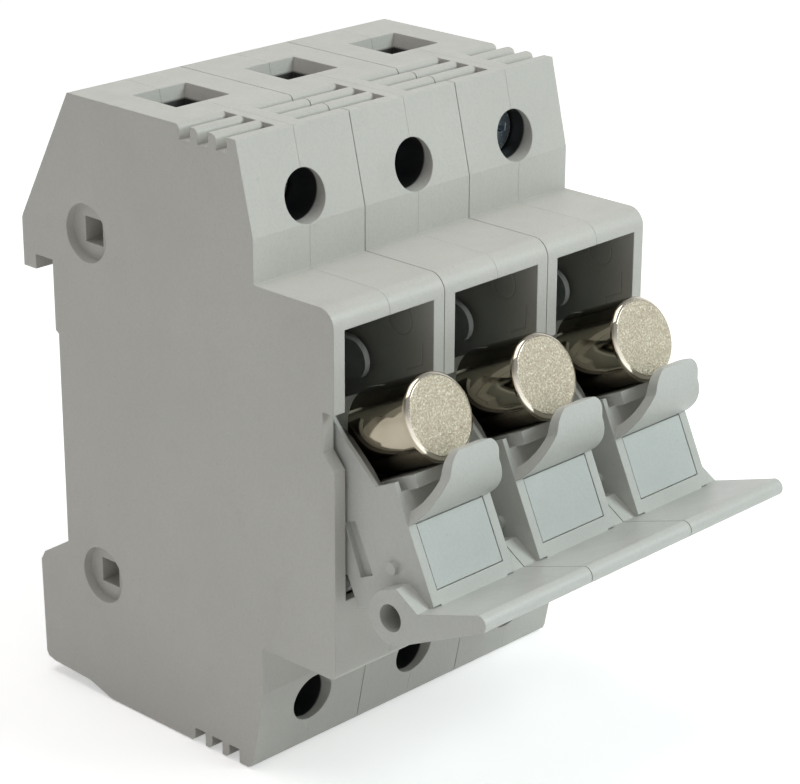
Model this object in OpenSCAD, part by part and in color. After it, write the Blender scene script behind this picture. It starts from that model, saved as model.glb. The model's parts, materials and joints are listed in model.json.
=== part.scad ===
// Three-pole fuse disconnector for a 35 mm mounting rail, carriers swung open.
// The origin is the middle of the rail seat at the back. +Z is up and -Y is the front.
// Profiles are drawn in the Y-Z plane and extruded along X.
// The fuse carriers are drawn closed and then swung open about their trunnions.

/* [Poles] */
// Distance from one pole to the next
pole_pitch = 17.8; // [17.6:0.1:18.2]
// Gap between neighbouring poles
pole_gap = 0.12; // [0.06:0.02:0.3]
// Gap at the seam between the two half shells of a pole
seam_gap = 0.02; // [0.02:0.02:0.12]

/* [Housing] */
// Height of the top face above the rail centre
body_top = 38.8; // [38:0.2:40]
// Depth of the bottom face below the rail centre
body_bottom = 39.4; // [38.8:0.2:41]
// Distance from the rail seat to the front of the nose
nose_depth = 47.8; // [47:0.2:49]
// Half the height of the nose
nose_half = 22.5; // [22.5:0.1:23]
// Distance from the rail seat to the front above and below the nose
shoulder_depth = 35.6; // [35:0.2:37]
// How far the front above and below the nose leans back at its end
shoulder_lean = 2.6; // [2:0.2:3]
// Radius of the upper front edge of the nose
nose_radius = 2.2; // [1:0.2:3]
// Depth of the housing foot and hook behind the rail seat
hook_depth = 6.1; // [5.6:0.1:7]
// Wall between the housing cavities and the outside
wall = 1.9; // [1.6:0.1:2.2]
// Number of grip ridges at each end
ridges = 3; // [2:1:3]
// Distance from one grip ridge to the next
ridge_pitch = 3.05; // [2.8:0.05:3.2]
// Depth of the grooves between the ridges
ridge_deep = 1.8; // [1:0.1:2]
// Radius of the front corner of each ridge
ridge_round = 0.7; // [0.3:0.1:0.9]

/* [Rail] */
// Depth of the slot that takes the upper rail flange
rail_slot = 3.25; // [2.6:0.05:3.6]
// Step between the upper and the lower rail seat
seat_step = 0.55; // [0.3:0.05:0.8]

/* [Bay] */
// Half the width of the bay for the fuse carrier
bay_half = 7.15; // [7.05:0.05:7.3]
// Top of the bay above the rail centre
bay_top = 19.95; // [19.9:0.05:20.3]
// Bottom of the bay opening below the rail centre
bay_bottom = 12.8; // [12.6:0.1:13.2]
// Depth of the detent notch in the front edge of the bay walls
notch_deep = 1.8; // [1.4:0.1:2]

/* [Terminals] */
// Distance from the top face to the upper terminal screws
upper_screw_in = 7.9; // [7.6:0.1:8.2]
// Distance from the bottom face to the lower terminal screws
lower_screw_in = 7; // [6.8:0.1:7.4]
// Radius of the screw access holes
access_r = 3.15; // [3.05:0.05:3.4]
// Half the width of a cable entry at its mouth
entry_half_w = 4.2; // [3.8:0.1:4.5]
// Half the depth of a cable entry at its mouth
entry_half_d = 3.9; // [3.6:0.1:4.1]
// Distance from the rail seat to the middle of the cable entries
entry_y = 13.65; // [13.4:0.05:13.8]
// Radius of the terminal screw heads
head_r = 2.9; // [2.6:0.1:3]
// Depth of the screw heads below the sloping front
head_sink = 5.9; // [5.7:0.1:6.1]
// How far the upper screw of the third pole is backed out
backed_out = 2.5; // [0:0.1:2.6]
// Thickness of the copper parts
copper_t = 0.8; // [0.6:0.05:0.85]

/* [Carrier] */
// Angle between the closed and the open carrier
open_angle = 65; // [60:1:66]
// Distance from the rail seat to the carrier pivot
pivot_y = 40.5; // [40.3:0.1:40.7]
// Depth of the carrier pivot below the rail centre
pivot_z = 6; // [5.8:0.1:6.2]
// Half the width of the carrier between its side faces
carrier_half = 6.7; // [6.6:0.05:6.8]
// Thickness of the carrier side walls
carrier_wall = 1.25; // [1.15:0.05:1.3]
// Radius of the side wall's rear edge about the pivot
sweep_r = 15.85; // [15.6:0.05:16]
// Radius of the trunnions
trunnion_r = 2.2; // [1.8:0.1:2.4]
// Height of the label plate above the rail centre, closed
plate_z = 11.3; // [11:0.1:11.6]
// Distance from the rail seat to the front face of the closed carrier
lip_front = 55.5; // [55.3:0.1:56.2]
// Height of the pull lip's tip above the rail centre, closed
lip_top = 20.8; // [20:0.2:22]
// Radius of the linking boss
boss_r = 3.3; // [3:0.1:3.4]
// Radius of the hole in the linking boss
boss_hole_r = 1.65; // [1.4:0.05:1.8]
// Half the width of the label
label_half = 5.35; // [5:0.05:5.5]
// Length of the label
label_len = 7.6; // [7:0.1:8]
// Thickness of the label
label_t = 0.5; // [0.3:0.05:0.6]

/* [Fuse] */
// Radius of the fuse link
fuse_r = 5.15; // [5.05:0.05:5.15]
// Length of the fuse link
fuse_len = 31.5; // [31:0.1:31.8]
// Length of each end cap
cap_len = 10; // [9:0.5:11]
// Radius of the rounded edge of the end caps
cap_round = 0.7; // [0.4:0.1:1]

/* [Latch] */
// Width of the rail latch
latch_w = 6.4; // [6:0.2:7]
// Thickness of the rail latch
latch_t = 2; // [1.8:0.1:2.1]
// Travel of the rail latch when it is pulled down
latch_travel = 3; // [2.5:0.1:3.2]

/* [Hidden] */
$fn = 48;
eps = 0.01;
rail_h = 35;
run_gap = 0.05;
slip_gap = 0.3;
pole_half = (pole_pitch - pole_gap) / 2;
upper_front = shoulder_depth - 0.5;
upper_bend = nose_half + 5.4;
lower_bend = nose_half + 6.1;
lean_slope = shoulder_lean / (body_top - upper_bend);
slot_top = rail_h / 2 - 0.2;
hook_tip = slot_top - 1.9;
foot_top = rail_h / 2 + 2.3;
bay_rear = 22.6;
bay_lip = 1.2;
inner_front = nose_depth - bay_lip;
pivot = [-pivot_y, -pivot_z];
upper_screw_z = body_top - upper_screw_in;
lower_screw_z = body_bottom - lower_screw_in;
screw_face = upper_front - lean_slope * (upper_screw_z - upper_bend);
head_y = screw_face - head_sink;
head_h = 2.2;
shank_r = 1.95;
tongue_back = entry_y + entry_half_d + 0.55;
tongue_front = tongue_back + copper_t;
tongue_half = 3.6;
clamp_half = 5;
clamp_reach = 4.2;
clamp_nut = 3;
clamp_nut_y = tongue_front + 0.7;
clamp_rear_y = entry_y - entry_half_d + 0.25;
clamp_wall = 1.1;
room_half = clamp_half + slip_gap;
room_front = head_y - head_h + 0.35;
room_rear = clamp_rear_y - clamp_wall - 0.4;
fuse_y = pivot_y - 8.15;
fuse_top = 14.6;
fuse_bottom = fuse_top - fuse_len;
jaw_in = fuse_r + run_gap;
jaw_out = jaw_in + copper_t;
spring_in = jaw_out + run_gap;
spring_out = spring_in + 0.6;
jaw_r = 2.5;
jaw_mid = 10.3;
low_jaw_mid = -13.2;
web_y = 25.4;
low_web_y = 23.8;
upper_foot = 11.2;
lower_foot = -17.2;
jaw_tip_y = pivot_y - 4.25;
inner_half = carrier_half - carrier_wall;
relief_half = spring_in;
bulk_front = fuse_y + fuse_r + 1.4;
bulk_rear = fuse_y + fuse_r + run_gap;
boss_y = lip_front - boss_r;
boss_z = 6.2;
plate_rear = pivot_y + 2.3;
plate_front = lip_front - 3.3;
plate_t = 1.6;
label_gap = 0.12;
tab_centre = [-pivot_y + 6.3, plate_z - 1.4];
tab_r = 8.7;
tab_t = 1.4;
skirt_r = 8.9;
hub_r = 5.2;
recess_r = 3.65;
recess_deep = 1.3;
key_hole = 3.2;
key_deep = 3;
upper_key = [-6, 22.1];
lower_key = [-6.6, -22.4];
latch_y = seat_step + 1.1;
latch_tip = rail_h / 2 - 1.1;
latch_end = body_bottom - 2;
latch_bar = body_bottom - 6.4;
latch_bar_h = 1.2;
spring_top = latch_bar - 6;
plastic = [0.76, 0.77, 0.74];
nickel = [0.8, 0.79, 0.74];
copper = [0.78, 0.77, 0.73];
zinc = [0.62, 0.68, 0.76];

function pole_x(k) = (k - 2) * pole_pitch;
function on_circle(c, r, a) = [c[0] + r * cos(a), c[1] + r * sin(a)];

// Extrudes a Y-Z profile from x = a to x = b
module slab(a, b) {
  translate([a, 0, 0]) rotate([90, 0, 90]) linear_extrude(b - a) children();
}

// Extrudes a Y-Z profile on both sides of the middle plane, from |x| = a to |x| = b
module pair(a, b) {
  slab(a, b) children();
  slab(-b, -a) children();
}

// Extrudes an X-Z profile along Y from y = -front to y = -rear
module front_view(front, rear) {
  translate([0, -rear, 0]) rotate([90, 0, 0]) linear_extrude(front - rear) children();
}

module box(low, high) {
  translate(low) cube(high - low);
}

// A cylinder along Y from y = -front to y = -rear
module y_rod(r, front, rear, z) {
  translate([0, -rear, z]) rotate([90, 0, 0]) cylinder(r = r, h = front - rear);
}

// A cylinder along X from |x| = a to |x| = b on both sides
module x_rods(r, a, b, at) {
  for (s = [-1, 1])
    translate([s * (a + b) / 2, at[0], at[1]]) rotate([0, 90, 0]) cylinder(r = r, h = b - a, center = true);
}

// Swings a closed carrier piece open about the trunnions
module swung() {
  translate([0, pivot[0], pivot[1]]) rotate([open_angle, 0, 0]) translate([0, -pivot[0], -pivot[1]])
    children();
}

// Side outline of a pole, with the rail slot at the back
module pole_outline() {
  difference() {
    polygon([
      [-3.5, body_top], [hook_depth - 0.2, nose_half - 0.5], [hook_depth, nose_half - 1],
      [hook_depth, hook_tip],
      [seat_step + rail_slot, hook_tip], [seat_step + rail_slot, slot_top], [seat_step, slot_top],
      [seat_step, 8.3], [0, 7.9], [0, -foot_top],
      [hook_depth - 1.3, -foot_top - 2.9], [hook_depth - 0.5, -foot_top - 4.2],
      [hook_depth - 0.7, 2.4 - body_bottom],
      [hook_depth - 1.1, 1.8 - body_bottom], [hook_depth - 2.3, 1.5 - body_bottom], [-3.2, 1.2 - body_bottom],
      [-7, -body_bottom + 0.1], [-7.6, -body_bottom],
      [-shoulder_depth + shoulder_lean * 0.85 + 0.75, -body_bottom],
      [-shoulder_depth + shoulder_lean * 0.85 + 0.12, 0.27 - body_bottom],
      [-shoulder_depth + shoulder_lean * 0.85 - 0.2, 0.9 - body_bottom], [-shoulder_depth, -lower_bend],
      [-shoulder_depth, -nose_half], [-nose_depth, -nose_half], [-nose_depth, nose_half],
      [-upper_front, nose_half], [-upper_front, upper_bend], [-upper_front + shoulder_lean, body_top]
    ]);
    translate([-nose_depth, nose_half]) difference() {
      translate([-eps, -nose_radius]) square([nose_radius + eps, nose_radius + eps]);
      translate([nose_radius, -nose_radius]) circle(nose_radius);
    }
    translate([-nose_depth, -nose_half]) difference() {
      translate([-eps, -eps]) square(0.8 + eps);
      translate([0.8, 0.8]) circle(0.8);
    }
  }
}

// Grooves that leave grip ridges at the top or the bottom front edge, each ridge rounded at its front
module grooves(edge, way) {
  for (i = [0 : ridges - 1])
    translate([-upper_front + shoulder_lean + 1.35 + i * ridge_pitch, edge]) mirror([0, way > 0 ? 0 : 1]) {
      translate([0, -ridge_deep]) square([ridge_pitch * 0.6, ridge_deep + 1]);
      translate([ridge_pitch * 0.6 - eps, -ridge_round]) difference() {
        square([ridge_round + eps, ridge_round + 1]);
        translate([ridge_round + eps, 0]) circle(ridge_round);
      }
    }
}

// Side outline of the chamber that the carrier and the fuse swing in
module chamber_outline() {
  polygon([
    [-nose_depth - 1, bay_top], [-bay_rear - 1.4, bay_top], [-bay_rear, bay_top - 1.4],
    [-bay_rear, -nose_half + wall + 2], [-bay_rear - 2, -nose_half + wall],
    [-inner_front, -nose_half + wall], [-inner_front, -bay_bottom], [-nose_depth - 1, -bay_bottom]
  ]);
}

// Notch in the front edge of the bay walls that the carrier's nubs snap into
module notch_outline() {
  polygon([
    [-nose_depth - 1, 10.3], [notch_deep - nose_depth, 10.3],
    [notch_deep - nose_depth, 5.4], [-nose_depth - eps, 3.4], [-nose_depth - 1, 3.4]
  ]);
}

// Square funnel of a cable entry: mouth at z = 0, throat below, opening upwards
module entry_funnel(depth) {
  throat = 0.78;
  intersection() {
    rotate([90, 0, 0]) translate([0, 0, -6]) linear_extrude(12) polygon([
      [-entry_half_w * throat, -depth - 1], [-entry_half_w * throat, -depth], [-entry_half_w, 0],
      [-entry_half_w, 1],
      [entry_half_w, 1], [entry_half_w, 0], [entry_half_w * throat, -depth],
      [entry_half_w * throat, -depth - 1]
    ]);
    slab(-6, 6) polygon([
      [-entry_half_d * throat, -depth - 1], [-entry_half_d * throat, -depth], [-entry_half_d, 0],
      [-entry_half_d, 1],
      [entry_half_d, 1], [entry_half_d, 0], [entry_half_d * throat, -depth],
      [entry_half_d * throat, -depth - 1]
    ]);
  }
}

// Room for a clamp and its screw; z is the screw's height and way points to the cable entry
module terminal_room(z, way) {
  end = way > 0 ? body_top : body_bottom - 0.2;
  box([-room_half, -room_front, z - clamp_reach - 0.5], [room_half, -room_rear, z + clamp_reach + 0.5]);
  y_rod(access_r, shoulder_depth + 1, room_front - 0.5, z);
  translate([0, -entry_y, way * end]) mirror([0, 0, way > 0 ? 0 : 1])
    entry_funnel(end - abs(z) - clamp_reach);
}

// Slot for the copper tongue and its foot, from a terminal room into the chamber
module tongue_slot(z, foot) {
  low = min(z, foot);
  high = max(z, foot);
  box([-tongue_half - slip_gap, -tongue_front - slip_gap, low],
    [tongue_half + slip_gap, -tongue_back + slip_gap, high]);
  box([-tongue_half - slip_gap, -bay_rear - 1, foot - 0.3],
    [tongue_half + slip_gap, -tongue_back + slip_gap, foot + copper_t + 0.3]);
}

module latch_slot() {
  difference() {
    box([-latch_w / 2 - 0.2, latch_y - 0.3, -body_bottom - 1],
      [latch_w / 2 + 0.2, latch_y + latch_t + 0.25, -foot_top + 3]);
    box([-1.9, latch_y - 1, -latch_bar - latch_bar_h], [1.9, latch_y + latch_t + 1, -latch_bar]);
  }
}

module key_recess(at) {
  x_rods(recess_r, pole_half - recess_deep, pole_half + 1, at);
  for (s = [-1, 1])
    translate([s * (pole_half - recess_deep - key_deep / 2), at[0], at[1]])
      cube([key_deep + eps, key_hole, key_hole], center = true);
}

// One pole's housing before it is split at the seam
module pole_housing() {
  difference() {
    slab(-pole_half, pole_half) pole_outline();
    slab(-pole_half - 1, -1.5) grooves(body_top, 1);
    slab(2.1, pole_half + 1) grooves(body_top, 1);
    slab(-pole_half - 1, -1.5) grooves(-body_bottom, -1);
    slab(2.1, pole_half + 1) grooves(-body_bottom, -1);
    slab(-bay_half, bay_half) chamber_outline();
    pair(bay_half - eps, pole_half + 1) notch_outline();
    terminal_room(upper_screw_z, 1);
    terminal_room(-lower_screw_z, -1);
    tongue_slot(upper_screw_z, upper_foot);
    tongue_slot(-lower_screw_z, lower_foot);
    x_rods(trunnion_r + run_gap, bay_half - eps, bay_half + 1.15, pivot);
    latch_slot();
    key_recess(upper_key);
    key_recess(lower_key);
  }
}

module half_shell(k, side) {
  low = side > 0 ? seam_gap / 2 : -pole_half - 1;
  high = side > 0 ? pole_half + 1 : -seam_gap / 2;
  color(plastic) translate([pole_x(k), 0, 0]) intersection() {
    pole_housing();
    box([low, -nose_depth - 1, -body_bottom - 1], [high, hook_depth + 1, body_top + 1]);
  }
}

// Carrier side wall behind the label plate, bounded by the sweep arc
module rear_wall(r, front_edge) {
  intersection() {
    translate(pivot) circle(r);
    polygon([
      [-front_edge, plate_z - 3.2], [-pivot_y + 4.5, plate_z - 3.95],
      [-pivot_y + 6.3, plate_z - 4.7], [-pivot_y + 8.7, plate_z - 5.8], [-pivot_y + 11.5, plate_z - 6.65],
      [-pivot_y + 12.4, plate_z - 7], [-pivot_y + 9.5, 4 - pivot_z], [-pivot_y + 4, -pivot_z - 3.3],
      [-pivot_y - 2, -pivot_z - 3.3], [-front_edge, 0]
    ]);
  }
}

// Carrier side wall under and beside the label plate
module front_wall_outline(rear_edge) {
  polygon([
    [-rear_edge, -pivot_z], [-rear_edge, plate_z], [-plate_front, plate_z], [-plate_front - 1, boss_z + 2],
    [-boss_y, boss_z], [-pivot_y - 10.4, -1], [-pivot_y - 6.4, -1.1],
    [-pivot_y - 4.6, -pivot_z - 2.3]
  ]);
  translate(pivot) circle(hub_r);
}

// Profile of the pull lip with the linking boss at its foot
module lip_outline() {
  polygon([
    [-lip_front, boss_z], [-lip_front, lip_top - 1.1], [-lip_front + 1.05, lip_top - 1.1],
    [-lip_front + 2.1, lip_top - 1.3],
    [-plate_front - 0.1, plate_z - 0.6], [-boss_y + boss_r - 0.2, boss_z + 2.4], [-boss_y + boss_r, boss_z],
    [-boss_y, boss_z - 0.5]
  ]);
  translate([-lip_front + 1.05, lip_top - 1.05]) circle(1.05);
  translate([-boss_y, boss_z]) circle(boss_r);
}

module fuse_carrier(k) {
  color(plastic) translate([pole_x(k), 0, 0]) swung() difference() {
    union() {
      pair(relief_half, carrier_half) rear_wall(sweep_r, fuse_y + fuse_r + 0.3);
      pair(inner_half, relief_half + eps) rear_wall(sweep_r - 1.45, bulk_front + 0.15);
      pair(relief_half, carrier_half) front_wall_outline(fuse_y + fuse_r + 0.25);
      pair(inner_half, relief_half + eps) front_wall_outline(bulk_front + 0.1);
      pair(inner_half, pole_half) lip_outline();
      slab(-inner_half - eps, inner_half + eps) difference() {
        lip_outline();
        translate([-lip_front + 1.9, -10]) square([10, 10 + plate_z - plate_t]);
      }
      slab(-inner_half - eps, inner_half + eps) polygon([
        [-plate_front - 1, plate_z - plate_t], [-bulk_front - 0.1, plate_z - plate_t],
        [-bulk_front - 0.1, plate_z],
        [-plate_front - 1, plate_z]
      ]);
      intersection() {
        slab(-carrier_half, carrier_half) grip_outline();
        translate([0, 0, plate_z - plate_t]) linear_extrude(12) grip_plan();
      }
      slab(-4.9, 4.9) polygon([
        [-bulk_front - 0.2, plate_z + 1.5], [-bulk_front - 0.2, plate_z - eps],
        [-bulk_front, -pivot_z - 12.6], [-fuse_y - 1.2, -pivot_z - 12.6],
        [-fuse_y - 1.2, fuse_bottom - run_gap], [-bulk_rear, fuse_bottom - run_gap],
        [-bulk_rear, plate_z + 1.5]
      ]);
      box([-inner_half - eps, -bulk_front, -pivot_z - 3], [inner_half + eps, -bulk_rear, plate_z - 3.4]);
      slab(-carrier_half + 0.5, carrier_half - 0.5) skirt_outline();
      slab(-inner_half - eps, inner_half + eps) polygon([
        on_circle(pivot, skirt_r, 152), [-pivot_y - 10.4, -1], [-lip_front + 0.7, boss_z - 2.5],
        [-lip_front + 1.9, boss_z - 1.2],
        [-pivot_y - 9.6, 0.6], on_circle(pivot, skirt_r - 1.3, 140)
      ]);
      x_rods(trunnion_r, carrier_half - eps, bay_half + 1, pivot);
      x_rods(0.75, carrier_half - eps, bay_half + 0.1, [-pivot_y - 6.55, 6.9]);
    }
    slab(-label_half - label_gap, label_half + label_gap) polygon([
      [-plate_rear - label_len - 2 * label_gap, plate_z - label_t], [-plate_rear, plate_z - label_t],
      [-plate_rear, plate_z + eps], [-plate_rear - label_len - 2 * label_gap, plate_z + eps]
    ]);
    pair(carrier_half - 0.8, carrier_half + eps) polygon([
      [-pivot_y - 0.4, 1.2], [-pivot_y - 0.5, 3], [-pivot_y - 7, 3.1], [-pivot_y - 7, 1]
    ]);
    x_rods(boss_hole_r, inner_half - 1, pole_half + 1, [-boss_y, boss_z]);
  }
}

// Curved grip that stands behind the label plate
module grip_outline() {
  intersection() {
    translate(tab_centre) difference() {
      circle(tab_r, $fn = 96);
      circle(tab_r - tab_t, $fn = 96);
    }
    polygon([
      tab_centre, on_circle(tab_centre, 20, 104), on_circle(tab_centre, 20, 140),
      on_circle(tab_centre, 20, 174)
    ]);
  }
}

// Plan of the grip: flared at its root, rounded at its tip
module grip_plan() {
  corner = [1.7, -pivot_y + 2.2];
  r = 2.2;
  polygon([
    [-carrier_half, -plate_rear - 2], [-carrier_half, -plate_rear], [-corner[0] - r - 0.1, corner[1] - 0.6],
    [-corner[0] - r + 0.02, corner[1] + 0.1], [corner[0] + r - 0.02, corner[1] + 0.1],
    [corner[0] + r + 0.1, corner[1] - 0.6], [carrier_half, -plate_rear], [carrier_half, -plate_rear - 2]
  ]);
  translate([-corner[0], corner[1]]) circle(r);
  translate(corner) circle(r);
  translate([-corner[0], corner[1] - 0.5]) square([2 * corner[0], r + 0.5]);
}

// Curved skirt that closes the bay below the front wall
module skirt_outline() {
  intersection() {
    translate(pivot) difference() {
      circle(skirt_r);
      circle(skirt_r - 1.3);
    }
    polygon([pivot, on_circle(pivot, 20, 151), on_circle(pivot, 20, 185), on_circle(pivot, 20, 217)]);
  }
}

module label(k) {
  color([0.8, 0.81, 0.79]) translate([pole_x(k), 0, 0]) swung()
    box([-label_half, -plate_rear - label_gap - label_len, plate_z - label_t + eps],
      [label_half, -plate_rear - label_gap, plate_z - 0.04]);
}

module fuse_tube(k) {
  color([0.93, 0.92, 0.88]) translate([pole_x(k), 0, 0]) swung()
    translate([0, -fuse_y, fuse_bottom + 0.4]) cylinder(r = fuse_r - 0.5, h = fuse_len - 0.8);
}

// Half section of an end cap with its closed end at z = 0 and its rim at z = -cap_len
module cap_section() {
  difference() {
    union() {
      translate([0, -cap_len]) square([fuse_r, cap_len - cap_round]);
      square_top = fuse_r - cap_round;
      translate([0, -cap_round - eps]) square([square_top, cap_round + eps]);
      intersection() {
        translate([square_top, -cap_round]) circle(cap_round);
        translate([square_top - eps, -cap_round - eps]) square(cap_round + 2 * eps);
      }
    }
    translate([-1, -cap_len - 1]) square([fuse_r - 0.5 + 1 + eps, cap_len + 1 - 0.4]);
  }
}

module fuse_caps(k) {
  color(nickel) translate([pole_x(k), 0, 0]) swung() {
    translate([0, -fuse_y, fuse_top]) rotate_extrude() cap_section();
    translate([0, -fuse_y, fuse_bottom]) mirror([0, 0, 1]) rotate_extrude() cap_section();
  }
}

// Jaw outline: a strip from the web to a round tip, cut clear of the carrier's sweep
module jaw_outline(web_y, tip_y, mid, half, clear_r) {
  difference() {
    union() {
      translate([-tip_y, mid - half]) square([tip_y - web_y, 2 * half]);
      translate([-tip_y, mid]) circle(half);
    }
    translate(pivot) circle(clear_r);
  }
}

// Copper contact: jaws, web, foot and the tongue that runs into the terminal clamp
module contact(foot, mid, web, tip, clear_r, tongue_end) {
  pair(jaw_in, jaw_out) jaw_outline(web, tip, mid, jaw_r, clear_r);
  box([-jaw_out, -web - copper_t, mid - jaw_r + (foot < 0 ? -1.6 : 0)],
    [jaw_out, -web, mid + jaw_r - (foot < 0 ? 2.6 : 0)]);
  box([-tongue_half, -web - eps, foot], [tongue_half, -tongue_back, foot + copper_t]);
  box([-tongue_half, -tongue_front, min(foot, tongue_end)],
    [tongue_half, -tongue_back, max(foot + copper_t, tongue_end)]);
}

module upper_contact(k) {
  color(copper) translate([pole_x(k), 0, 0])
    contact(upper_foot, jaw_mid, web_y, jaw_tip_y, sweep_r - 1.15, upper_screw_z + clamp_reach + 0.2);
}

module lower_contact(k) {
  color(copper) translate([pole_x(k), 0, 0])
    contact(lower_foot, low_jaw_mid, low_web_y, jaw_tip_y - 2, hub_r + 1, -lower_screw_z - clamp_reach - 0.2);
}

// Steel springs that press the jaws together, one round each contact
module jaw_springs(k) {
  color([0.55, 0.55, 0.53]) translate([pole_x(k), 0, 0]) {
    pair(spring_in, spring_out) jaw_outline(web_y - 0.65, jaw_tip_y - 1, jaw_mid + 0.4, jaw_r - 0.4,
      sweep_r + 0.3);
    box([-spring_out, -web_y + run_gap, upper_foot + copper_t + 0.1],
      [spring_out, -web_y + 0.65, jaw_mid + jaw_r]);
    pair(spring_in, spring_out) jaw_outline(low_web_y - 0.65, jaw_tip_y - 3, low_jaw_mid, jaw_r - 0.4,
      hub_r + 1.3);
    box([-spring_out, -low_web_y + run_gap, lower_foot + copper_t + 0.1],
      [spring_out, -low_web_y + 0.65, low_jaw_mid]);
  }
}

// Cage clamp, open towards the cable entry, with the threaded wall in front
module clamp(z) {
  difference() {
    box([-clamp_half, -clamp_nut_y - clamp_nut, z - clamp_reach],
      [clamp_half, -clamp_rear_y + clamp_wall, z + clamp_reach]);
    box([-clamp_half + clamp_wall, -clamp_nut_y, z - clamp_reach - 1],
      [clamp_half - clamp_wall, -clamp_rear_y, z + clamp_reach + 1]);
    y_rod(shank_r + run_gap, clamp_nut_y + clamp_nut + 1, clamp_nut_y - 1, z);
  }
}

module upper_clamp(k) {
  color([0.8, 0.76, 0.6]) translate([pole_x(k), 0, 0]) clamp(upper_screw_z);
}

module lower_clamp(k) {
  color([0.8, 0.76, 0.6]) translate([pole_x(k), 0, 0]) clamp(-lower_screw_z);
}

module screw(z, out) {
  front = head_y + out;
  difference() {
    union() {
      y_rod(head_r, front, front - head_h, z);
      y_rod(shank_r, front - head_h + eps, tongue_front + 0.1 + out, z);
    }
    box([-2, -front - 1, z - 0.45], [2, -front + 1.2, z + 0.45]);
    box([-0.45, -front - 1, z - 2], [0.45, -front + 1.2, z + 2]);
  }
}

module upper_screw(k) {
  color(zinc) translate([pole_x(k), 0, 0]) screw(upper_screw_z, k == 3 ? backed_out : 0);
}

module lower_screw(k) {
  color(zinc) translate([pole_x(k), 0, 0]) screw(-lower_screw_z, 0);
}

// Sliding rail latch with a hooked tip and a window for its spring
module rail_latch(k) {
  color(plastic) translate([pole_x(k), 0, 0]) difference() {
    slab(-latch_w / 2, latch_w / 2) polygon([
      [latch_y, -latch_end], [latch_y + latch_t, -latch_end], [latch_y + latch_t, -latch_tip - 1.6],
      [latch_y + 0.7, -latch_tip], [latch_y, -latch_tip]
    ]);
    box([-2.2, latch_y - 1, -latch_bar - latch_bar_h - 0.1], [2.2, latch_y + latch_t + 1, -spring_top]);
  }
}

// Flat zigzag spring between the housing bar and the top of the latch window
module latch_spring(k) {
  turns = 4;
  rise = (latch_bar - spring_top) / turns;
  left = [for (i = [0 : turns]) [(i % 2) * 2.8 - 2, -latch_bar + i * rise]];
  right = [for (i = [turns : -1 : 0]) [(i % 2) * 2.8 - 0.8, -latch_bar + i * rise]];
  color([0.6, 0.6, 0.6]) translate([pole_x(k), 0, 0])
    front_view(-latch_y - 0.4, -latch_y - latch_t + 0.4) polygon(concat(left, right));
}

module carrier_link_pins() {
  color([0.6, 0.6, 0.62]) swung()
    for (x = [pole_x(1) + pole_pitch / 2, pole_x(2) + pole_pitch / 2])
      translate([x, -boss_y, boss_z]) rotate([0, 90, 0])
        cylinder(r = boss_hole_r - run_gap, h = 6, center = true);
}

// Moulded couplers that lock neighbouring poles together, hidden in the side recesses
module pole_couplers() {
  color([0.3, 0.3, 0.3])
    for (x = [pole_x(1) + pole_pitch / 2, pole_x(2) + pole_pitch / 2], at = [upper_key, lower_key])
      translate([x, at[0], at[1]]) {
        rotate([0, 90, 0]) cylinder(r = recess_r - 0.1, h = 2 * recess_deep + pole_gap - 0.1, center = true);
        cube([2 * (recess_deep + key_deep) - 0.6, key_hole - 0.1, key_hole - 0.1], center = true);
      }
}

half_shell(1, -1);  // left_shell_1
half_shell(2, -1);  // left_shell_2
half_shell(3, -1);  // left_shell_3
half_shell(1, 1);  // right_shell_1
half_shell(2, 1);  // right_shell_2
half_shell(3, 1);  // right_shell_3
fuse_carrier(1);  // carrier_1
fuse_carrier(2);  // carrier_2
fuse_carrier(3);  // carrier_3
label(1);  // label_1
label(2);  // label_2
label(3);  // label_3
fuse_tube(1);  // fuse_tube_1
fuse_tube(2);  // fuse_tube_2
fuse_tube(3);  // fuse_tube_3
fuse_caps(1);  // fuse_caps_1
fuse_caps(2);  // fuse_caps_2
fuse_caps(3);  // fuse_caps_3
upper_contact(1);  // upper_contact_1
upper_contact(2);  // upper_contact_2
upper_contact(3);  // upper_contact_3
lower_contact(1);  // lower_contact_1
lower_contact(2);  // lower_contact_2
lower_contact(3);  // lower_contact_3
jaw_springs(1);  // jaw_springs_1
jaw_springs(2);  // jaw_springs_2
jaw_springs(3);  // jaw_springs_3
upper_clamp(1);  // upper_clamp_1
upper_clamp(2);  // upper_clamp_2
upper_clamp(3);  // upper_clamp_3
lower_clamp(1);  // lower_clamp_1
lower_clamp(2);  // lower_clamp_2
lower_clamp(3);  // lower_clamp_3
upper_screw(1);  // upper_screw_1
upper_screw(2);  // upper_screw_2
upper_screw(3);  // upper_screw_3
lower_screw(1);  // lower_screw_1
lower_screw(2);  // lower_screw_2
lower_screw(3);  // lower_screw_3
rail_latch(1);  // rail_latch_1
rail_latch(2);  // rail_latch_2
rail_latch(3);  // rail_latch_3
latch_spring(1);  // latch_spring_1
latch_spring(2);  // latch_spring_2
latch_spring(3);  // latch_spring_3
carrier_link_pins();
pole_couplers();
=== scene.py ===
# Looks of the three-pole fuse disconnector: materials, floor, lamps and camera.
import json
import math

import bpy
from mathutils import Matrix, Vector


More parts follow.
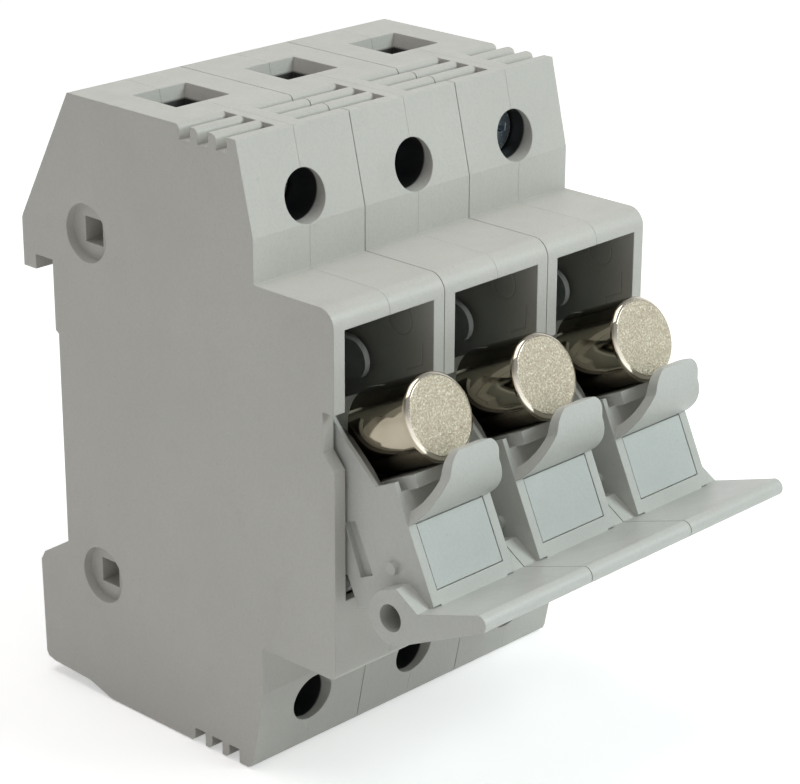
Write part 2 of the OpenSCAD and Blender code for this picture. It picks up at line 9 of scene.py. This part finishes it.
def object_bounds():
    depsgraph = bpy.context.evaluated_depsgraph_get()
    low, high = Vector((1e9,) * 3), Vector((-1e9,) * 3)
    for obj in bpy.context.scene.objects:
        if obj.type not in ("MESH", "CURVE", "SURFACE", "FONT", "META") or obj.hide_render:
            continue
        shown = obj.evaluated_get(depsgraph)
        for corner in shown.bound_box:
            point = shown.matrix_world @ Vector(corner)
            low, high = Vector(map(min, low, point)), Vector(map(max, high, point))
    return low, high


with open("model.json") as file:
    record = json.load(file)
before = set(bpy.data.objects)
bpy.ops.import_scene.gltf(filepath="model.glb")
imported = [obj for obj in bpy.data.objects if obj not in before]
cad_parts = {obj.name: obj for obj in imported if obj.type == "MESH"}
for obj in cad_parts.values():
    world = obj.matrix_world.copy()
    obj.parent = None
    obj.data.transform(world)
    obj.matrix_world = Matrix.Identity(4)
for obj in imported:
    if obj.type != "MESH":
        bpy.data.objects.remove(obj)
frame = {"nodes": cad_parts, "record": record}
cad_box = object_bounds()

MM = 0.001
# Distance between neighbouring poles
PITCH = 17.8 * MM
# The carriers' trunnions, and the angle in degrees by which the carriers stand open
PIVOT = Vector((0, -40.5, -6)) * MM
SWING = 65
# The long axis of the fuse links in the open carriers
FUSE_TILT = math.radians(25)
FUSE_AXIS = (0, -math.cos(FUSE_TILT), math.sin(FUSE_TILT))

# Most of a noise value lies between these two
NOISE_LOW, NOISE_HIGH = 0.3, 0.7
BEVEL_SAMPLES = 6
# Dot product of the rounded and the true normal: on a sharp edge, and close to a flat
ON_EDGE, ON_FLAT = 0.80, 0.985

# The materials by name; an object's material slot in the record has the same name
materials = {}


# Node helpers: a value is an output of a node, and a fixed one is a number or a tuple

def feed(tree, socket, value):
    """Links a value to a socket, or writes a fixed one into it."""
    if isinstance(value, bpy.types.NodeSocket):
        tree.links.new(value, socket)
    elif socket.type == "RGBA":
        socket.default_value = (*value, 1)
    else:
        socket.default_value = value


def new_material(name):
    """Starts a material and gives its node tree, shader and object coordinates in metres."""
    materials[name] = bpy.data.materials.new(name)
    materials[name].use_nodes = True
    tree = materials[name].node_tree
    coords = tree.nodes.new("ShaderNodeTexCoord")
    return tree, tree.nodes["Principled BSDF"], coords.outputs["Object"]


def noise(tree, coords, scale, detail=4.0, rough=0.55, stretch=None):
    """Noise with the given scale per metre, stretched along the axes if asked."""
    node = tree.nodes.new("ShaderNodeTexNoise")
    node.inputs["Scale"].default_value = scale
    node.inputs["Detail"].default_value = detail
    node.inputs["Roughness"].default_value = rough
    if stretch:
        mapping = tree.nodes.new("ShaderNodeMapping")
        mapping.inputs["Scale"].default_value = stretch
        tree.links.new(coords, mapping.inputs["Vector"])
        coords = mapping.outputs["Vector"]
    tree.links.new(coords, node.inputs["Vector"])
    return node.outputs["Fac"]


def ramp(tree, value, stops):
    """Colours laid along a value; a stop is a place from 0 to 1 and its colour."""
    node = tree.nodes.new("ShaderNodeValToRGB")
    elements = node.color_ramp.elements
    while len(elements) < len(stops):
        elements.new(0.5)
    for element, (place, colour) in zip(elements, stops):
        element.position = place
        element.color = (*colour, 1)
    tree.links.new(value, node.inputs["Fac"])
    return node.outputs["Color"]


def two_tone(tree, value, low, high):
    """A colour that goes from one tone to another with a noise value."""
    return ramp(tree, value, [(NOISE_LOW, low), (NOISE_HIGH, high)])


def spread(tree, value, low, high, start=NOISE_LOW, end=NOISE_HIGH):
    """Goes from low to high while the value goes from start to end, and no further."""
    node = tree.nodes.new("ShaderNodeMapRange")
    node.inputs["From Min"].default_value = start
    node.inputs["From Max"].default_value = end
    node.inputs["To Min"].default_value = low
    node.inputs["To Max"].default_value = high
    tree.links.new(value, node.inputs["Value"])
    return node.outputs["Result"]


def combine(tree, a, b, kind):
    """Two values through one step of arithmetic."""
    node = tree.nodes.new("ShaderNodeMath")
    node.operation = kind
    feed(tree, node.inputs[0], a)
    feed(tree, node.inputs[1], b)
    return node.outputs[0]


def multiply(tree, a, b):
    return combine(tree, a, b, "MULTIPLY")


def absolute(tree, value):
    node = tree.nodes.new("ShaderNodeMath")
    node.operation = "ABSOLUTE"
    tree.links.new(value, node.inputs[0])
    return node.outputs[0]


def dot_product(tree, a, b):
    node = tree.nodes.new("ShaderNodeVectorMath")
    node.operation = "DOT_PRODUCT"
    feed(tree, node.inputs[0], a)
    feed(tree, node.inputs[1], b)
    return node.outputs["Value"]


def blend_colour(tree, factor, a, b):
    """Colour a where the factor is 0 and colour b where it is 1."""
    node = tree.nodes.new("ShaderNodeMix")
    node.data_type = "RGBA"
    node.clamp_factor = True
    feed(tree, node.inputs[0], factor)
    # The colour sockets of this node are its seventh and eighth
    feed(tree, node.inputs[6], a)
    feed(tree, node.inputs[7], b)
    return node.outputs[2]


def rounded_normal(tree, radius):
    """The surface normal with edges rounded by a radius in metres."""
    bevel = tree.nodes.new("ShaderNodeBevel")
    bevel.samples = BEVEL_SAMPLES
    bevel.inputs["Radius"].default_value = radius
    return bevel.outputs["Normal"]


def add_bump(tree, shader, height, distance, strength, edge=0.0):
    """Bumps the surface; distance and edge, the radius of rounded edges, are in metres."""
    bump = tree.nodes.new("ShaderNodeBump")
    bump.inputs["Distance"].default_value = distance
    bump.inputs["Strength"].default_value = strength
    tree.links.new(height, bump.inputs["Height"])
    if edge:
        tree.links.new(rounded_normal(tree, edge), bump.inputs["Normal"])
    tree.links.new(bump.outputs["Normal"], shader.inputs["Normal"])


def edge_mask(tree, radius):
    """A mask that is 1 on an edge and 0 on flats, from the rounded and the true normal."""
    geometry = tree.nodes.new("ShaderNodeNewGeometry")
    likeness = dot_product(tree, rounded_normal(tree, radius), geometry.outputs["Normal"])
    return spread(tree, likeness, 1, 0, ON_EDGE, ON_FLAT)


def facing(tree, axis, start, end):
    """A mask that is 1 where the surface faces along an axis of the object, either way."""
    normal = tree.nodes.new("ShaderNodeTexCoord").outputs["Normal"]
    return spread(tree, absolute(tree, dot_product(tree, normal, axis)), 0, 1, start, end)


def pole_place(tree, coords):
    """X from the nearest pole's middle plane, then Y and Z, all in metres."""
    split = tree.nodes.new("ShaderNodeSeparateXYZ")
    tree.links.new(coords, split.inputs["Vector"])
    wrap = tree.nodes.new("ShaderNodeMath")
    wrap.operation = "WRAP"
    tree.links.new(split.outputs["X"], wrap.inputs[0])
    wrap.inputs[1].default_value = PITCH / 2
    wrap.inputs[2].default_value = -PITCH / 2
    return wrap.outputs[0], split.outputs["Y"], split.outputs["Z"]


def closed_place(tree, coords, angle):
    """The place that a point of a carrier, open by an angle, has when the carrier is closed."""
    mapping = tree.nodes.new("ShaderNodeMapping")
    turn = Matrix.Rotation(math.radians(-angle), 3, "X")
    mapping.inputs["Rotation"].default_value = (math.radians(-angle), 0, 0)
    mapping.inputs["Location"].default_value = PIVOT - turn @ PIVOT
    tree.links.new(coords, mapping.inputs["Vector"])
    return mapping.outputs["Vector"]


# Masks drawn on the object's own coordinates; their sizes are in millimetres

def inside(tree, place, low, high, soft):
    """A mask that is 1 inside a box and fades over a width across each of its faces."""
    mask = None
    for value, a, b, s in zip(place, low, high, soft):
        rise = spread(tree, value, 0, 1, (a - s / 2) * MM, (a + s / 2) * MM)
        fall = spread(tree, value, 1, 0, (b - s / 2) * MM, (b + s / 2) * MM)
        both = multiply(tree, rise, fall)
        mask = multiply(tree, mask, both) if mask is not None else both
    return mask


def from_point(tree, place, point):
    """Distances along Y and Z from a point of the Y-Z plane."""
    return [combine(tree, value, at * MM, "SUBTRACT") for value, at in zip(place[1:], point)]


def ring(tree, place, centre, radius, width):
    """A mask along a circle in the Y-Z plane."""
    dy, dz = from_point(tree, place, centre)
    square = combine(tree, combine(tree, dy, 2, "POWER"), combine(tree, dz, 2, "POWER"), "ADD")
    gap = combine(tree, combine(tree, square, 0.5, "POWER"), radius * MM, "SUBTRACT")
    return spread(tree, absolute(tree, gap), 1, 0, 0, width * MM)


def stroke(tree, place, start, end, width):
    """A mask along a straight line in the Y-Z plane."""
    length = math.dist(start, end)
    uy, uz = (end[0] - start[0]) / length, (end[1] - start[1]) / length
    dy, dz = from_point(tree, place, start)
    along = combine(tree, multiply(tree, dy, uy), multiply(tree, dz, uz), "ADD")
    across = combine(tree, multiply(tree, dy, uz), multiply(tree, dz, uy), "SUBTRACT")
    near = spread(tree, absolute(tree, across), 1, 0, 0, width * MM)
    begun = spread(tree, along, 0, 1, -width * MM, 0)
    ended = spread(tree, along, 1, 0, length * MM, (length + width) * MM)
    return multiply(tree, near, multiply(tree, begun, ended))


# Materials: each is one node tree with its own colour variation, roughness and bump

BLACK = (0.004, 0.004, 0.004)
# Painted shade in the hollow places of a pole: lowest and highest corner in millimetres, with X
# from the pole's middle, width of the fade along each axis, share of the dark tone, and the dark
# tone.
# They are the bay, the upper and lower cable entry, and the upper and lower screw tunnel.
HOLLOW_SHADE = [
    ((-7.4, -44.4, -22.0), (7.4, -15, 20.1), (0.2, 6.4, 0.6), 0.38, (0.05, 0.085, 0.072)),
    ((-4.5, -17.8, 20.0), (4.5, -9.6, 37.1), (0.2, 0.2, 0.3), 0.96, BLACK),
    ((-4.5, -17.8, -37.6), (4.5, -9.6, -20.0), (0.2, 0.2, 0.3), 0.96, BLACK),
    ((-5.5, -33.1, 25.0), (5.5, -9, 35.0), (0.2, 0.3, 0.5), 0.98, BLACK),
    ((-5.5, -33.1, -37.0), (5.5, -9, -27.0), (0.2, 0.3, 0.5), 0.98, BLACK),
]
# Painted shade in the carrier's trough round the fuse link, in the place it has when closed
TROUGH_SHADE = [((-6.15, -38.2, -14.0), (6.15, -20, 8.5), (0.15, 1.2, 5.0), 0.9, (0.012, 0.012, 0.010))]
# Fine lines moulded into the walls of the bay, in millimetres: circles by centre, radius and width,
# the corners of a step, the width of its line, and the box in which the lines show
MARKS = [((-42.5, 16.4), 1.8, 0.16)]
STEPS = [(-46.0, 14.3), (-46.0, 11.7), (-43.7, 10.5), (-43.7, 8.8)]
STEP_WIDTH = 0.14
BAY_WALLS = ((-7.5, -48, 0), (7.5, -30, 20), (0.1, 1, 1))
# Depth of those lines, against a grain of about 1
LINE_DEPTH = -4
# Edges lightened partly as wear and partly as painted highlight reach further than the rounding, by
# this factor
WORN_LIT_EDGE_REACH = 1.6
# Radii in metres of the rounded edges of metal, and of the band of painted highlight along them
METAL_EDGE, HIGHLIGHT_EDGE = 0.00006, 0.0002
# Spots: scale, detail and roughness of their noise, their strongest share,
# and the noise values at which they begin and are full
SMUDGES = (120, 6, 0.72, 0.35, 0.56, 0.8)
SPECKS = (1500, 2, 0.5, 0.4, 0.70, 0.78)
GRIT = (3200, 2, 0.6, 0.2, 0.4, 0.66)
TARNISH = (420, 5, 0.7, 0.5, 0.54, 0.74)
GLAZE_SPECKS = (1300, 2, 0.5, 0.6, 0.70, 0.76)


def scaled(colour, factor):
    return tuple(c * factor for c in colour)


def tinted(colour, tint):
    return tuple(a * b for a, b in zip(colour, tint))


def spotted(tree, coords, colour, spot_tone, scale, detail, rough, share, start, end):
    """Lays spots of another tone over a colour."""
    mask = spread(tree, noise(tree, coords, scale, detail, rough), 0, share, start, end)
    return blend_colour(tree, mask, colour, spot_tone)


def moulded_plastic(name, tone, gloss, edge, shaded_hollows=(), marks=(), steps=(), swing=0):
    """Satin moulding with faint flow marks, edges lightened partly by wear and partly as painted
    highlight, and painted shade in hollow places.
    """
    tree, shader, coords = new_material(name)
    mottling = noise(tree, coords, 48, 5)
    colour = two_tone(tree, mottling, scaled(tone, 0.955), scaled(tone, 1.02))
    colour = spotted(tree, coords, colour, tinted(tone, (0.82, 0.80, 0.76)), *SMUDGES)
    colour = spotted(tree, coords, colour, scaled(tone, 0.72), *SPECKS)
    colour = spotted(tree, coords, colour, scaled(tone, 0.76), *GRIT)
    # Lighter edges: partly wear, partly painted highlight
    edges = edge_mask(tree, edge * WORN_LIT_EDGE_REACH)
    worn_lit_edges = multiply(tree, edges, spread(tree, mottling, 0.15, 0.55))
    colour = blend_colour(tree, worn_lit_edges, colour, scaled(tone, 1.22))
    place = pole_place(tree, closed_place(tree, coords, swing) if swing else coords)
    # Painted shade: each hollow place is blended towards its dark tone
    for low, high, soft, share, dark in shaded_hollows:
        shade = multiply(tree, inside(tree, place, low, high, soft), share)
        colour = blend_colour(tree, shade, colour, dark)
    tree.links.new(colour, shader.inputs["Base Color"])

    streaks = noise(tree, coords, 380, 3, 0.6, (1, 1, 0.35))
    rough = spread(tree, streaks, gloss - 0.05, gloss + 0.1)
    rough = combine(tree, rough, multiply(tree, worn_lit_edges, 0.12), "SUBTRACT")
    tree.links.new(rough, shader.inputs["Roughness"])
    shader.inputs["Specular IOR Level"].default_value = 0.45

    height = combine(tree, noise(tree, coords, 2400, 2, 0.5), noise(tree, coords, 240, 3), "ADD")
    lines = [ring(tree, place, *mark) for mark in marks]
    lines += [stroke(tree, place, start, end, STEP_WIDTH) for start, end in zip(steps, steps[1:])]
    for line in lines:
        line = multiply(tree, multiply(tree, line, LINE_DEPTH), inside(tree, place, *BAY_WALLS))
        height = combine(tree, height, line, "ADD")
    add_bump(tree, shader, height, 0.00004, 0.6, edge)


def nickel_plate(name):
    """Bright on the round side of the caps, blasted and granular on their flat ends, with a painted
    highlight on the rounded edge round each end and painted glints on the ends.
    """
    tree, shader, coords = new_material(name)
    shader.inputs["Metallic"].default_value = 1.0
    grey, tan, painted_glint = (0.29, 0.25, 0.185), (0.44, 0.395, 0.31), (0.70, 0.66, 0.56)
    # Painted highlight: a pale tone on the rounded edge between each cap's end and side
    rim_highlight = (0.84, 0.79, 0.68)
    flat = facing(tree, FUSE_AXIS, 0.93, 0.995)
    cloud = noise(tree, coords, 80, 4)
    polished = two_tone(tree, cloud, grey, (0.40, 0.355, 0.275))
    polished = blend_colour(tree, facing(tree, FUSE_AXIS, 0.5, 0.7), polished, rim_highlight)
    pits = noise(tree, coords, 4200, 3, 0.6)
    # Painted glints: the highest pits on the flat ends take a pale tone
    blasted = ramp(tree, pits, [(0.34, grey), (0.57, tan), (0.72, painted_glint)])
    tree.links.new(blend_colour(tree, flat, polished, blasted), shader.inputs["Base Color"])

    rings = noise(tree, coords, 600, 3, 0.5, (0.2, 1, 1))
    rough = combine(tree, spread(tree, rings, 0.05, 0.12), multiply(tree, flat, 0.24), "ADD")
    tree.links.new(rough, shader.inputs["Roughness"])
    height = combine(tree, multiply(tree, pits, flat), multiply(tree, cloud, 0.04), "ADD")
    add_bump(tree, shader, height, 0.0002, 0.9)


def plated_metal(name, tone, rough, grain_scale=700, stretch=None, bump=0.00003,
                 tarnish=(0.8, 0.74, 0.62), metal=1.0, edge_highlight_tone=None):
    """Plated sheet or turned metal: faint grain, patches of tarnish and perhaps a painted highlight
    along the edges.
    """
    tree, shader, coords = new_material(name)
    shader.inputs["Metallic"].default_value = metal
    cloud = noise(tree, coords, 160, 5)
    colour = two_tone(tree, cloud, scaled(tone, 0.88), scaled(tone, 1.05))
    colour = spotted(tree, coords, colour, tinted(tone, tarnish), *TARNISH)
    # Painted highlight: a bright tone laid along the edges
    if edge_highlight_tone:
        colour = blend_colour(tree, edge_mask(tree, HIGHLIGHT_EDGE), colour, edge_highlight_tone)
    tree.links.new(colour, shader.inputs["Base Color"])
    grain = noise(tree, coords, grain_scale, 4, 0.6, stretch)
    tree.links.new(spread(tree, grain, rough - 0.07, rough + 0.1), shader.inputs["Roughness"])
    add_bump(tree, shader, grain, bump, 0.6, METAL_EDGE)


def tinned_contact(name):
    """Tinned copper plate: a painted highlight makes its cut edges bright, and painted shade makes
    its wide faces dull and darker.
    """
    tree, shader, coords = new_material(name)
    cloud = noise(tree, coords, 260, 5, 0.65)
    # Painted highlight on the cut edges and painted shade on the wide faces, picked by which way
    # the surface faces
    edges = two_tone(tree, cloud, (0.88, 0.92, 0.92), (0.96, 0.98, 0.98))
    shaded_sides = two_tone(tree, cloud, (0.30, 0.33, 0.31), (0.42, 0.45, 0.43))
    side = facing(tree, (1, 0, 0), 0.6, 0.95)
    tree.links.new(blend_colour(tree, side, edges, shaded_sides), shader.inputs["Base Color"])
    tree.links.new(spread(tree, side, 0.05, 0.6, 0, 1), shader.inputs["Metallic"])
    grain = noise(tree, coords, 500, 4, 0.6, (1, 1, 3))
    tree.links.new(spread(tree, grain, 0.34, 0.5), shader.inputs["Roughness"])
    add_bump(tree, shader, grain, 0.00003, 0.6, METAL_EDGE)


def glazed_ceramic(name):
    """Cream ceramic with a thin glaze and small specks."""
    tree, shader, coords = new_material(name)
    cloud = noise(tree, coords, 120, 4)
    colour = two_tone(tree, cloud, (0.74, 0.72, 0.65), (0.82, 0.80, 0.74))
    colour = spotted(tree, coords, colour, (0.45, 0.42, 0.36), *GLAZE_SPECKS)
    tree.links.new(colour, shader.inputs["Base Color"])
    tree.links.new(spread(tree, cloud, 0.18, 0.28), shader.inputs["Roughness"])
    add_bump(tree, shader, noise(tree, coords, 600, 3), 0.00002, 0.4)


# Tones, and the radii in metres of rounded edges
GREY = (0.545, 0.534, 0.499)
PALE_GREY = (0.545, 0.550, 0.521)
CARD = (0.555, 0.578, 0.560)
DARK = (0.10, 0.10, 0.10)
ZINC = (0.33, 0.39, 0.44)
STEEL = (0.66, 0.68, 0.67)
BRASSY = (0.58, 0.54, 0.42)
HOUSING_EDGE, CARRIER_EDGE, CARD_EDGE, COUPLER_EDGE = 0.00018, 0.00015, 0.00005, 0.0001

moulded_plastic("housing_plastic", GREY, 0.40, HOUSING_EDGE, HOLLOW_SHADE, MARKS, STEPS)
moulded_plastic("carrier_plastic", PALE_GREY, 0.36, CARRIER_EDGE, TROUGH_SHADE, swing=SWING)
moulded_plastic("label_card", CARD, 0.5, CARD_EDGE)
glazed_ceramic("ceramic")
nickel_plate("nickel")
tinned_contact("plated_copper")
plated_metal("spring_steel", STEEL, 0.42, 900, (1, 6, 1), metal=0.5)
plated_metal("clamp_steel", BRASSY, 0.34)
# The screws get a painted highlight along their edges
plated_metal("zinc_steel", ZINC, 0.22, 800, bump=0.00002, tarnish=(0.85, 0.9, 0.95),
             metal=0.7, edge_highlight_tone=(0.96, 0.98, 1.0))
moulded_plastic("coupler_plastic", DARK, 0.5, COUPLER_EDGE)

# Each CAD node gets the material that its slot in the record names
slot_of = {part["node"]: part["material_slot"] for part in frame["record"]["subparts"]}
for node, obj in frame["nodes"].items():
    obj.data.materials.clear()
    obj.data.materials.append(materials[slot_of[node]])


# Floor, world and lamps; lengths in metres

FLOOR_HALF = 3.0
FLOOR_GAP = 0.0002
# The floor's glow and the distance over which it rises
GLOW_NEAR, GLOW_FAR = 0.44, 0.80
GLOW_START, GLOW_END = 0.35, 1.1
WORLD_STRENGTH = 0.26
WHITE, CEILING = (1.0, 1.0, 1.0), (0.3, 0.3, 0.3)
# Name, place, side lengths, power in watts and colour
LAMPS = [
    ("key", (0.30, -0.55, 0.42), (0.30, 0.30), 2.8, (0.885, 1.0, 0.99)),
    ("top", (-0.05, 0.05, 0.65), (0.5, 0.5), 2.0, (1.0, 0.985, 0.965)),
    ("side", (-0.6, -0.12, 0.15), (0.4, 0.4), 0.12, (1.0, 0.90, 0.84)),
]


def seen_rays(tree):
    """1 for what the camera, metal and glass see, 0 for the light on the object."""
    path = tree.nodes.new("ShaderNodeLightPath")
    rays = combine(tree, path.outputs["Is Camera Ray"], path.outputs["Is Glossy Ray"], "MAXIMUM")
    return combine(tree, rays, path.outputs["Is Transmission Ray"], "MAXIMUM")


def floor_material():
    """Matt pale paper that glows a little more towards its far edge, so that it ends in white."""
    tree, shader, coords = new_material("floor")
    fibres = noise(tree, coords, 60, 4)
    colour = two_tone(tree, fibres, scaled(WHITE, 0.925), scaled(WHITE, 0.935))
    tree.links.new(colour, shader.inputs["Base Color"])
    shader.inputs["Roughness"].default_value = 0.95
    shader.inputs["Specular IOR Level"].default_value = 0.1
    shader.inputs["Emission Color"].default_value = (*WHITE, 1)
    reach = tree.nodes.new("ShaderNodeVectorMath")
    reach.operation = "LENGTH"
    tree.links.new(coords, reach.inputs[0])
    glow = spread(tree, reach.outputs["Value"], GLOW_NEAR, GLOW_FAR, GLOW_START, GLOW_END)
    tree.links.new(multiply(tree, seen_rays(tree), glow), shader.inputs["Emission Strength"])


def make_floor():
    """One flat square just under the object."""
    mesh = bpy.data.meshes.new("floor")
    z = cad_box[0].z - FLOOR_GAP
    corners = [(x * FLOOR_HALF, y * FLOOR_HALF, z) for x, y in ((-1, -1), (1, -1), (1, 1), (-1, 1))]
    mesh.from_pydata(corners, [], [(0, 1, 2, 3)])
    floor = bpy.data.objects.new("floor", mesh)
    bpy.context.scene.collection.objects.link(floor)
    floor_material()
    mesh.materials.append(materials["floor"])


def make_world():
    """Even soft light; the camera, metal and glass see a white backdrop with a darker ceiling."""
    world = bpy.data.worlds.new("studio")
    bpy.context.scene.world = world
    world.use_nodes = True
    tree = world.node_tree
    back = tree.nodes["Background"]
    back.inputs["Color"].default_value = (*WHITE, 1)
    back.inputs["Strength"].default_value = WORLD_STRENGTH
    seen = tree.nodes.new("ShaderNodeBackground")
    seen.inputs["Strength"].default_value = 1.0
    direction = tree.nodes.new("ShaderNodeTexCoord").outputs["Generated"]
    split = tree.nodes.new("ShaderNodeSeparateXYZ")
    tree.links.new(direction, split.inputs["Vector"])
    sky = ramp(tree, split.outputs["Z"], [(0.25, WHITE), (0.7, CEILING)])
    tree.links.new(sky, seen.inputs["Color"])
    mix = tree.nodes.new("ShaderNodeMixShader")
    tree.links.new(seen_rays(tree), mix.inputs["Fac"])
    for background, socket in ((back, 1), (seen, 2)):
        tree.links.new(background.outputs[0], mix.inputs[socket])
    tree.links.new(mix.outputs[0], tree.nodes["World Output"].inputs["Surface"])


def soft_lamp(target, name, place, size, power, colour):
    """A rectangular area lamp that points at a target."""
    lamp = bpy.data.lights.new(name, "AREA")
    lamp.shape = "RECTANGLE"
    lamp.size, lamp.size_y = size
    lamp.energy = power
    lamp.color = colour
    obj = bpy.data.objects.new(name, lamp)
    bpy.context.scene.collection.objects.link(obj)
    obj.location = place
    obj.rotation_mode = "QUATERNION"
    obj.rotation_quaternion = (target - Vector(place)).to_track_quat("-Z", "Y")


make_floor()
make_world()
centre = (cad_box[0] + cad_box[1]) / 2
for lamp in LAMPS:
    soft_lamp(centre, *lamp)


# Camera: the place and angle that the photograph was taken from

CAMERA_PLACE = Vector((-220.57, -244.64, 119.42)) * MM
CAMERA_FORWARD = Vector((0.67237, 0.64292, -0.36685))
CAMERA_RIGHT = Vector((0.69239, -0.72150, 0.00457))
# In pixels: the photograph's size, the point where the camera's axis meets it, the focal length
PHOTO_WIDTH, PHOTO_HEIGHT = 800, 784
AXIS_X, AXIS_Y = 408.70, 415.02
FOCAL_LENGTH = 2689.56
SENSOR_MM = 36


def make_camera():
    data = bpy.data.cameras.new("camera")
    data.sensor_width = SENSOR_MM
    data.lens = FOCAL_LENGTH * SENSOR_MM / PHOTO_WIDTH
    data.shift_x = (PHOTO_WIDTH / 2 - AXIS_X) / PHOTO_WIDTH
    data.shift_y = (AXIS_Y - PHOTO_HEIGHT / 2) / PHOTO_WIDTH
    data.clip_start, data.clip_end = 0.01, 20
    camera = bpy.data.objects.new("camera", data)
    bpy.context.scene.collection.objects.link(camera)
    forward = CAMERA_FORWARD.normalized()
    right = CAMERA_RIGHT.normalized()
    up = right.cross(forward)
    turn = Matrix((right, up, -forward)).transposed().to_4x4()
    camera.matrix_world = Matrix.Translation(CAMERA_PLACE) @ turn
    bpy.context.scene.camera = camera


make_camera()
bpy.context.scene.view_settings.view_transform = "Standard"
